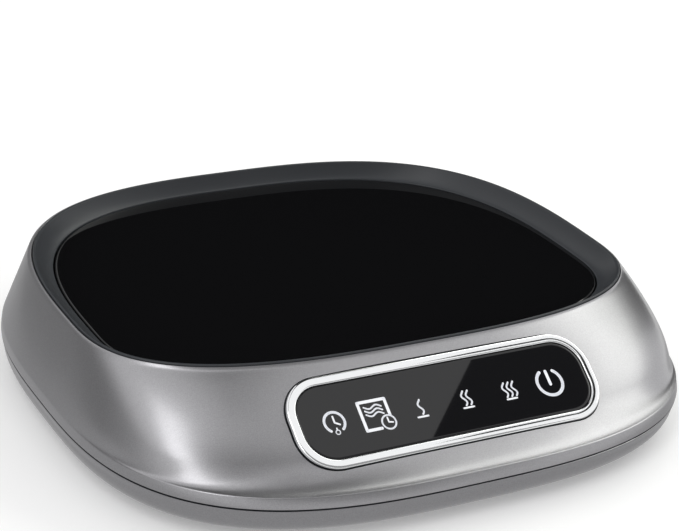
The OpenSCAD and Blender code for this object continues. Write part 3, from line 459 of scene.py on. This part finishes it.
def vents():
    """Two rows of slots through the floor."""
    corner_r = VENT_W / 2 - 0.01
    points, faces = loft([rounded(VENT_W, VENT_L, corner_r, z, steps=8) for z in (BELOW, FLOOR_Z + 1)])
    return [(points + np.array([(k - VENT_COUNT // 2) * VENT_PITCH, row_y, 0]), faces)
            for row_y in (MID_Y - VENT_FRONT, MID_Y + VENT_BACK) for k in range(VENT_COUNT)]


def make_base():
    form = loft(to_rings(base_profile()))
    piece = add_mesh("base_skin", form, replaces=["base_pan"])
    cut(piece, screw_holes() + foot_pockets() + vents() + [gland_hole()])
    return piece


# ---------------------------------------------------------------- tray and plate
def tray_profile():
    """Rows from the skirt's foot up the outside, over the edge and down the hollow wall to the deck."""
    skirt_drop, pocket_step = 2, 0.12
    wall_top = TRAY_TOP - TRAY_LAND_DROP
    drop = wall_top - PLATE_TOP
    edge = inset(TRAY, TRAY_LAND)
    rows = [outline(SKIRT, z) for z in (DECK_BOTTOM, PLATE_TOP - skirt_drop)]
    rows.append(outline(TRAY, RIM_H - LIP_DEPTH))
    rows += bend(outline(TRAY, TRAY_TOP - TRAY_ROUND), outline(TRAY, TRAY_TOP),
                 outline(inset(TRAY, TRAY_ROUND), TRAY_TOP), steps=6)
    rows += [outline(between(edge, POCKET, share), wall_top - drop * (1 - (1 - share) ** COVE_BOW))
             for share in np.linspace(0, COVE_END, 26)]
    rows.append(outline(POCKET, PLATE_TOP - pocket_step))
    rows.append(outline(POCKET, DECK_TOP))
    return rows


def make_tray():
    well = [(WELL_R, z + 0 * ANGLES) for z in (DECK_TOP, DECK_BOTTOM)]
    form = loft(to_rings(tray_profile()) + to_rings(well, PLATE_Y), loop=True)
    return add_mesh("tray_skin", form, replaces=["inner_tray"])


def make_plate():
    chamfer, flat_ring = 0.3, 1.5
    rows = [outline(inset(PLATE, chamfer), PLATE_BOTTOM), outline(PLATE, PLATE_BOTTOM + chamfer)]
    rows += bend(outline(PLATE, PLATE_TOP - PLATE_ROUND), outline(PLATE, PLATE_TOP),
                 outline(inset(PLATE, PLATE_ROUND), PLATE_TOP), steps=8)
    rows.append(outline(inset(PLATE, flat_ring), PLATE_TOP))
    return add_mesh("plate_glass", loft(to_rings(rows)), replaces=["glass_plate"])


# ---------------------------------------------------------------- bezel and lens
def make_bezel():
    """The bright ring: up its outside, over two rounds and down its inside."""
    inner_w, inner_h = LENS_W + 2 * BEZEL_INNER_GAP, LENS_H + 2 * BEZEL_INNER_GAP
    rings = [rounded(BEZEL_W, BEZEL_H, BEZEL_R, -BEZEL_SEAT)]
    for a in np.linspace(0, math.pi / 2, 9):
        i = BEZEL_ROUND * (1 - math.cos(a))
        z = BEZEL_ROUND * (math.sin(a) - 1)
        rings.append(rounded(BEZEL_W - 2 * i, BEZEL_H - 2 * i, BEZEL_R - i, z))
    for a in np.linspace(math.pi / 2, 0, 9):
        o = BEZEL_INNER_ROUND * (1 - math.cos(a))
        z = BEZEL_INNER_ROUND * (math.sin(a) - 1)
        rings.append(rounded(inner_w + 2 * o, inner_h + 2 * o, LENS_R + o, z))
    rings.append(rounded(inner_w, inner_h, LENS_R, -BEZEL_SEAT))
    form = loft([on_panel(ring) for ring in rings], loop=True)
    return add_mesh("bezel_ring", form, replaces=["panel_bezel"])


def make_lens():
    """The black window with a rounded edge, given as steps inwards and down."""
    edge = ((0, 0.25), (0.03, 0.12), (0.12, 0.03), (0.25, 0), (0.6, 0))
    rings = [rounded(LENS_W, LENS_H, LENS_R, -BEZEL_SEAT)]
    rings += [rounded(LENS_W - 2 * i, LENS_H - 2 * i, LENS_R - i, -LENS_DROP - down) for i, down in edge]
    form = loft([on_panel(ring) for ring in rings])
    return add_mesh("lens_cover", form, replaces=["touch_lens"])


# ---------------------------------------------------------------- symbols
class Strokes:
    """Flat printed lines of one symbol, in the panel's frame."""

    def __init__(self):
        self.points, self.faces = [], []

    def add(self, ring):
        start = len(self.points)
        self.points += [(x, y, PRINT_H - LENS_DROP) for x, y in ring]
        self.faces.append(tuple(range(start, start + len(ring))))

    def line(self, path, width):
        """Straight strokes along a path, with a disc at each of its points."""
        path = [np.array(p, dtype=float) for p in path]
        for a, b in zip(path, path[1:]):
            side = (b - a) / np.linalg.norm(b - a) @ np.array([[0, 1], [-1, 0]]) * width / 2
            self.add([a - side, b - side, b + side, a + side][::-1])
        for x, y in path:
            self.add(circle(x, y, width / 2, sides=20))

    def arc(self, x, y, r, start, end, width, steps=40):
        angles = np.radians(np.linspace(start, end, steps))
        self.line([(x + r * math.cos(a), y + r * math.sin(a)) for a in angles], width)

    def wave(self, x, y, length, swing, phase, halves, width):
        """A wavy line to the right, over a number of half waves."""
        self.line([(x + length * t, y + swing * math.cos(math.pi * (phase + halves * t)))
                   for t in np.linspace(0, 1, 20)], width)

    def steam(self, x, y, height, swing, turns, width):
        """A wavy line upwards, over a number of turns."""
        self.line([(x + swing * math.sin(2 * turns * math.pi * t), y + height * (t - 0.5))
                   for t in np.linspace(0, 1, 18)], width)

    def done(self, name):
        return add_mesh(name, (on_panel(self.points), self.faces))


def timer_symbol():
    """A ring that is open at its foot, clock hands in it, and a drop below."""
    x, ring_y, drop_y = -28.05, -0.2, -2.55
    hand_top, hub_y, hand_x, hand_y = 1.15, -0.3, x + 1.05, -0.9
    drop_tip, drop_neck = -1.65, -2.05
    strokes = Strokes()
    strokes.arc(x, ring_y, r=2.35, start=-52, end=232, width=0.6)
    strokes.line([(x, hand_top), (x, hub_y), (hand_x, hand_y)], width=0.42)
    strokes.arc(x, drop_y, r=0.5, start=0, end=360, width=0.24, steps=20)
    strokes.line([(x, drop_tip), (x, drop_neck)], width=0.36)
    return strokes.done("symbol_timer")


def programme_symbol():
    """Three waves in a frame that a small clock interrupts."""
    left, right, top, bottom = -21.45, -14.9, 3.0, -3.6
    side_end, bottom_end, frame_w = -0.95, -17.9, 0.7
    wave_x, wave_lines = -20.3, (1.6, 0.72, -0.16)
    clock_x, clock_y = -15.75, -2.5
    hub_x, hand_top, hand_x, hand_y = -15.8, -1.4, -14.85, -2.7
    strokes = Strokes()
    strokes.line([(left, top), (right, top), (right, side_end)], frame_w)
    strokes.line([(left, top), (left, bottom), (bottom_end, bottom)], frame_w)
    for y in wave_lines:
        strokes.wave(wave_x, y, length=4.1, swing=0.36, phase=0.35, halves=2.3, width=0.38)
    strokes.arc(clock_x, clock_y, r=1.62, start=0, end=360, width=0.4)
    strokes.line([(hub_x, hand_top), (hub_x, clock_y), (hand_x, hand_y)], width=0.36)
    return strokes.done("symbol_programme")


def heat_symbol(name, centre, waves):
    """One to three lines of steam over a bar."""
    pitch, shift, steam_y = 1.2, 0.15, -0.6
    bar_left, bar_right, bar_y = centre - 1.3, centre + 1.2, -2.85
    strokes = Strokes()
    for k in range(waves):
        x = centre + shift + (k - (waves - 1) / 2) * pitch
        strokes.steam(x, steam_y, height=3.4, swing=0.43, turns=1.12, width=0.42)
    strokes.line([(bar_left, bar_y), (bar_right, bar_y)], width=0.42)
    return strokes.done(name)


def power_symbol():
    """A ring that is open at its top, with an upright line in the gap."""
    x, ring_y, line_low, line_top = 26.05, -0.8, -1.25, 1.95
    strokes = Strokes()
    strokes.arc(x, ring_y, r=3.15, start=121, end=415, width=0.76)
    strokes.line([(x, line_low), (x, line_top)], width=0.74)
    return strokes.done("symbol_power")


shell = make_shell()
base = make_base()
tray = make_tray()
plate = make_plate()
bezel = make_bezel()
lens = make_lens()
symbols = [
    timer_symbol(),
    programme_symbol(),
    heat_symbol("symbol_low", centre=-7.4, waves=1),
    heat_symbol("symbol_medium", centre=4.15, waves=2),
    heat_symbol("symbol_high", centre=15.3, waves=3),
    power_symbol(),
]


# ---------------------------------------------------------------- finishes
def add_node(tree, kind, sockets=()):
    """A new shader node with some of its sockets set."""
    node = tree.nodes.new("ShaderNode" + kind)
    for name, value in dict(sockets).items():
        node.inputs[name].default_value = value
    return node


def new_material(name):
    look = bpy.data.materials.new(name)
    look.use_nodes = True
    return look


ROUGH_VARY = 0.08


def finish(name, colour, rough, metal=0.0, tint=(1, 1, 1), vary=0.05, grain=4.0, cloud=0.05, depth=0.02,
           bump=0.3, sockets=()):
    """A procedural finish. The colour varies by the share vary, and the relief has a depth in mm, both at
    grain spots per mm. The roughness varies a little at cloud spots per mm."""
    look = new_material(name)
    tree = look.node_tree
    bsdf = tree.nodes["Principled BSDF"]
    coord = add_node(tree, "TexCoord")

    def noise(per_mm, detail):
        node = add_node(tree, "TexNoise", {"Scale": per_mm / MM, "Detail": detail})
        tree.links.new(coord.outputs["Object"], node.inputs["Vector"])
        return node.outputs["Fac"]

    def spread(value, low, high):
        """Stretches a noise, which mostly lies between 0.3 and 0.7, to a range."""
        node = add_node(tree, "MapRange", {"From Min": 0.3, "From Max": 0.7, "To Min": low, "To Max": high})
        tree.links.new(value, node.inputs["Value"])
        return node.outputs["Result"]

    tinted = [c * share for c, share in zip(colour, tint)]
    factor, colour_a, colour_b, colour_out = 0, 6, 7, 2  # the Mix node's sockets for colours
    mix = add_node(tree, "Mix")
    mix.data_type = "RGBA"
    mix.inputs[colour_a].default_value = (*[c * (1 - vary) for c in tinted], 1)
    mix.inputs[colour_b].default_value = (*[min(c * (1 + vary), 1) for c in tinted], 1)
    tree.links.new(spread(noise(grain, detail=3), 0, 1), mix.inputs[factor])
    tree.links.new(mix.outputs[colour_out], bsdf.inputs["Base Color"])
    rough_range = (rough * (1 - ROUGH_VARY), rough * (1 + ROUGH_VARY))
    tree.links.new(spread(noise(cloud, detail=2), *rough_range), bsdf.inputs["Roughness"])
    if depth:
        relief = add_node(tree, "Bump", {"Strength": bump, "Distance": depth * MM})
        tree.links.new(noise(grain, detail=2), relief.inputs["Height"])
        tree.links.new(relief.outputs["Normal"], bsdf.inputs["Normal"])
    bsdf.inputs["Metallic"].default_value = metal
    for key, value in dict(sockets).items():
        bsdf.inputs[key].default_value = value
    return look


PLAIN = {"rough": 0.5}
METAL = {"metal": 1.0, "grain": 3.0, "depth": 0.005}
FINISHES = {
    "silver_paint": {"rough": 0.31, "metal": 0.9, "tint": (1.0, 0.975, 1.0), "vary": 0.12, "grain": 5.0,
                     "depth": 0.005, "sockets": {"Coat Weight": 0.25, "Coat Roughness": 0.12}},
    "dark_plastic": {"rough": 0.42, "vary": 0.08, "grain": 5.0, "depth": 0.01,
                     "sockets": {"Specular IOR Level": 0.4}},
    "black_glass": {"rough": 0.04, "vary": 0.02, "grain": 1.0, "depth": 0, "sockets": {"IOR": 1.5}},
    "black_lens": {"rough": 0.015, "vary": 0.02, "grain": 1.0, "depth": 0, "sockets": {"IOR": 1.5}},
    "chrome": {"rough": 0.04, "metal": 1.0, "vary": 0.01, "grain": 2.0, "depth": 0},
    "steel": {"rough": 0.35, **METAL},
    "aluminium": {"rough": 0.4, **METAL},
    "brass": {"rough": 0.3, **METAL},
    "heater_foil": {"rough": 0.4, "vary": 0.06, **METAL, "metal": 0.9},
    "rubber": {"rough": 0.75, "vary": 0.08},
}


def paint(piece, *looks):
    piece.data.materials.clear()
    for look in looks:
        piece.data.materials.append(look)


def in_parting_gap(p, top):
    """Whether a point in mm lies inside the gap between the halves, and not on their outside."""
    behind_round, slack = PARTING_R + 0.02, 0.05
    x, y = p[0], p[1] - MID_Y
    inside = math.hypot(x, y) < float(reach(inset(PARTING, behind_round), math.atan2(y, x)))
    return inside and PARTING_H - PARTING_GAP - slack < p[2] < top


def in_panel_pocket(p):
    """Whether a point in mm lies in the panel's pocket, on its walls or its floor."""
    y, z = p[1] - PANEL_Y, p[2] - PANEL_H
    along = y * math.cos(TILT) + z * math.sin(TILT)
    height = z * math.cos(TILT) - y * math.sin(TILT) - PANEL_PROUD
    past_x = max(abs(p[0]) - BEZEL_W / 2 + BEZEL_R, 0)
    past_y = max(abs(along) - BEZEL_H / 2 + BEZEL_R, 0)
    wall_slack, floor_slack, below_face = 0.01, 0.1, 0.12
    inside = math.hypot(past_x, past_y) < BEZEL_R + BEZEL_GAP + wall_slack
    return inside and -BEZEL_SEAT - floor_slack < height < -below_face


def paint_gap_shade(piece, inside):
    """Gives the faces inside a gap the second material, the dark plastic, as painted shade in the narrow
    gap.
    """
    for face in piece.data.polygons:
        face.material_index = int(inside(np.array(face.center) / MM))


finishes = {}
for entry in record["materials"]:
    slot = entry["slot"]
    finishes[slot] = finish(slot, entry["base_color"], **FINISHES.get(slot, PLAIN))
symbol_white = finish("symbol_white", (0.72, 0.73, 0.75), rough=0.4, vary=0.02, depth=0,
                      sockets={"Emission Color": (0.9, 0.92, 1.0, 1), "Emission Strength": 0.25})
for entry in record["subparts"]:
    paint(frame["nodes"][entry["node"]], finishes[entry["material_slot"]])
# The second material of the shell and the base is painted shade in their gaps.
for piece in (shell, base):
    paint(piece, finishes["silver_paint"], finishes["dark_plastic"])
paint(tray, finishes["dark_plastic"])
paint(plate, finishes["black_glass"])
paint(bezel, finishes["chrome"])
paint(lens, finishes["black_lens"])
for piece in symbols:
    paint(piece, symbol_white)
# Painted shade: the faces in the panel's pocket and in the parting gap take the dark plastic.
paint_gap_shade(shell, lambda p: in_panel_pocket(p) or in_parting_gap(p, PARTING_H + 0.05))
paint_gap_shade(base, lambda p: in_parting_gap(p, PARTING_H + TONGUE_H + 0.1))

# ---------------------------------------------------------------- camera
CAMERA_AZIMUTH, CAMERA_ELEVATION, CAMERA_ROLL = -30.61, 24.84, 4.98  # degrees
CAMERA_TARGET = Vector((5.89, 11.47, 23.34)) * MM
CAMERA_DISTANCE = 485.47 * MM
CAMERA_LENS, CAMERA_SENSOR = 107.44, 36  # mm


def toward(azimuth, elevation):
    """Unit vector in a direction; azimuth counts from the front, turning to the right."""
    a, e = math.radians(azimuth), math.radians(elevation)
    return Vector((math.sin(a) * math.cos(e), -math.cos(a) * math.cos(e), math.sin(e)))


def make_camera():
    roll = math.radians(CAMERA_ROLL)
    back = toward(CAMERA_AZIMUTH, CAMERA_ELEVATION)
    right = (-back).cross(Vector((0, 0, 1))).normalized()
    up = right.cross(-back)
    axes = (math.cos(roll) * right + math.sin(roll) * up, math.cos(roll) * up - math.sin(roll) * right, back)
    place = Matrix(axes).transposed().to_4x4()
    place.translation = CAMERA_TARGET + back * CAMERA_DISTANCE
    piece = bpy.data.objects.new("camera", bpy.data.cameras.new("camera"))
    bpy.context.collection.objects.link(piece)
    piece.matrix_world = place
    piece.data.sensor_width = CAMERA_SENSOR
    piece.data.lens = CAMERA_LENS
    piece.data.clip_start = 0.01
    bpy.context.scene.camera = piece
    return piece


camera = make_camera()

# ---------------------------------------------------------------- studio
FLOOR_HALF = 4.0  # metres
FLOOR_GREY = 0.86
FLOOR_LIFT = 0.17  # glow that brings the seen floor up to white
WORLD_LIGHT = 0.78


def background_rays(tree):
    """A value of 1 for the camera's rays and for mirrored and refracted ones, which see the background."""
    path = add_node(tree, "LightPath")
    total = path.outputs["Is Camera Ray"]
    for name in ("Is Glossy Ray", "Is Transmission Ray"):
        either = add_node(tree, "Math")
        either.operation = "MAXIMUM"
        tree.links.new(total, either.inputs[0])
        tree.links.new(path.outputs[name], either.inputs[1])
        total = either.outputs[0]
    return total


def stage_mesh(name, corners):
    """A flat polygon of the studio, in metres."""
    mesh = bpy.data.meshes.new(name)
    mesh.from_pydata(corners, [], [tuple(range(len(corners)))])
    piece = bpy.data.objects.new(name, mesh)
    bpy.context.collection.objects.link(piece)
    return piece


def make_floor():
    """A pale floor that keeps the object's shadow."""
    side = FLOOR_HALF
    floor = stage_mesh("floor", [(-side, -side, 0), (side, -side, 0), (side, side, 0), (-side, side, 0)])
    look = new_material("floor")
    tree = look.node_tree
    bsdf = tree.nodes["Principled BSDF"]
    bsdf.inputs["Base Color"].default_value = (FLOOR_GREY, FLOOR_GREY, FLOOR_GREY, 1)
    bsdf.inputs["Roughness"].default_value = 0.9
    bsdf.inputs["Specular IOR Level"].default_value = 0.1
    glow = add_node(tree, "MixShader")
    both = add_node(tree, "AddShader")
    tree.links.new(background_rays(tree), glow.inputs[0])
    tree.links.new(add_node(tree, "Emission", {"Strength": 0}).outputs[0], glow.inputs[1])
    tree.links.new(add_node(tree, "Emission", {"Strength": FLOOR_LIFT}).outputs[0], glow.inputs[2])
    tree.links.new(bsdf.outputs[0], both.inputs[0])
    tree.links.new(glow.outputs[0], both.inputs[1])
    tree.links.new(both.outputs[0], tree.nodes["Material Output"].inputs["Surface"])
    paint(floor, look)


def make_world():
    """White where it is seen, and a softer light on the object."""
    world = bpy.data.worlds.new("world")
    bpy.context.scene.world = world
    world.use_nodes = True
    tree = world.node_tree
    tree.nodes.clear()
    switch = add_node(tree, "MixShader")
    tree.links.new(background_rays(tree), switch.inputs[0])
    lighting, seen = 1, 2
    for place, strength in ((lighting, WORLD_LIGHT), (seen, 1.0)):
        light = add_node(tree, "Background", {"Color": (1, 1, 1, 1), "Strength": strength})
        tree.links.new(light.outputs[0], switch.inputs[place])
    tree.links.new(switch.outputs[0], add_node(tree, "OutputWorld").inputs["Surface"])


def facing(azimuth, elevation, turn):
    """Rotation that faces the housing from a direction, turned about that direction."""
    spin = toward(azimuth, elevation).to_track_quat("Z", "Y").to_matrix()
    return spin @ Matrix.Rotation(math.radians(turn), 3, "Z")


def softbox(name, azimuth, elevation, distance, width, height, radiance, turn, colour=(1, 1, 1)):
    """A soft lamp aimed at the housing, as bright as an emission of strength radiance."""
    data = bpy.data.lights.new(name, "AREA")
    data.shape = "RECTANGLE"
    data.size, data.size_y = width, height
    data.energy = 4 * radiance * width * height
    data.color = colour
    lamp = bpy.data.objects.new(name, data)
    lamp.location = toward(azimuth, elevation) * distance
    lamp.rotation_euler = facing(azimuth, elevation, turn).to_euler()
    bpy.context.collection.objects.link(lamp)


def card(name, corners, grey):
    """A dull card that only reflections see, to keep a part of the room darker."""
    piece = stage_mesh(name, corners)
    piece.visible_camera = False
    piece.visible_diffuse = False
    piece.visible_shadow = False
    piece.visible_transmission = False
    look = new_material(name)
    tree = look.node_tree
    tree.nodes.clear()
    shine = add_node(tree, "Emission", {"Strength": grey})
    tree.links.new(shine.outputs[0], add_node(tree, "OutputMaterial").inputs["Surface"])
    paint(piece, look)


def flag(name, azimuth, elevation, distance, width, height, grey, turn=0, shift=0):
    """A rectangular card that faces the housing from a direction; shift moves it sideways."""
    spin = facing(azimuth, elevation, turn)
    across, along = spin.col[0] * width / 2, spin.col[1] * height / 2
    middle = toward(azimuth, elevation) * distance + spin.col[0] * shift
    card(name, [middle + u * across + v * along for u, v in ((-1, -1), (1, -1), (1, 1), (-1, 1))], grey)


# Nested cards at the left as (growth in metres, grey): each is darker than the larger one behind it, so that
# their border is soft.
LEFT_CARDS = ((-0.08, 0.27), (-0.045, 0.34), (-0.01, 0.43), (0.03, 0.54), (0.075, 0.67), (0.125, 0.83))


def left_cards():
    nearest, step, width, height = 0.13, 0.004, 0.35, 0.21
    for index, (grow, grey) in enumerate(LEFT_CARDS):
        flag(f"flag_left_{index}", azimuth=-130, elevation=1, distance=nearest + step * index,
             width=width + grow, height=height + grow, grey=grey, shift=grow / 2)


def floor_card():
    """A card just over the floor, as the darker table that the base mirrors."""
    half_w, half_d, height = 150, 140, 0.5
    corners = ((-half_w, -half_d), (half_w, -half_d), (half_w, half_d), (-half_w, half_d))
    card("flag_floor", [Vector((x, y, height)) * MM for x, y in corners], grey=0.53)


def lens_card(camera):
    """A card far off, which the lens mirrors towards the camera from its right end to a slanted line."""
    split_top, split_bottom, far_off = 9.95, -7.9, 2.5
    outward = Vector((0, -math.sin(TILT), math.cos(TILT)))
    ring = rounded(LENS_W, LENS_H, LENS_R, -LENS_DROP)
    corner = len(ring) // 4
    split = [(split_top, LENS_H / 2, -LENS_DROP), (split_bottom, -LENS_H / 2, -LENS_DROP)]
    spots = [Vector(p) * MM for p in on_panel([*ring[:corner], *split, *ring[-corner:]])]
    eye = camera.matrix_world.translation
    mirrored = eye - 2 * (eye - spots[0]).dot(outward) * outward
    card("flag_lens", [spot + (spot - mirrored).normalized() * far_off for spot in spots], grey=0.02)


make_floor()
make_world()
softbox("light_right", azimuth=103, elevation=43, distance=0.71, width=0.74, height=0.26, radiance=1.8,
        turn=8, colour=(0.985, 1.0, 0.94))
softbox("light_left", azimuth=-54, elevation=54.5, distance=1.2, width=0.88, height=0.29, radiance=2.2,
        turn=-79)
flag("flag_right", azimuth=108, elevation=20, distance=1.0, width=0.27, height=0.91, grey=0.06, turn=29)
flag("flag_behind", azimuth=152, elevation=54, distance=1.05, width=0.47, height=1.15, grey=0.0, turn=22)
left_cards()
flag("flag_front", azimuth=3, elevation=38, distance=1.3, width=1.57, height=1.6, grey=0.32, turn=-6)
flag("flag_top", azimuth=71, elevation=81, distance=0.9, width=0.32, height=0.13, grey=0.03, turn=17)
flag("flag_plate", azimuth=149, elevation=18, distance=1.15, width=1.2, height=0.76, grey=0.0)
floor_card()
lens_card(camera)

bpy.context.scene.view_settings.view_transform = "Standard"
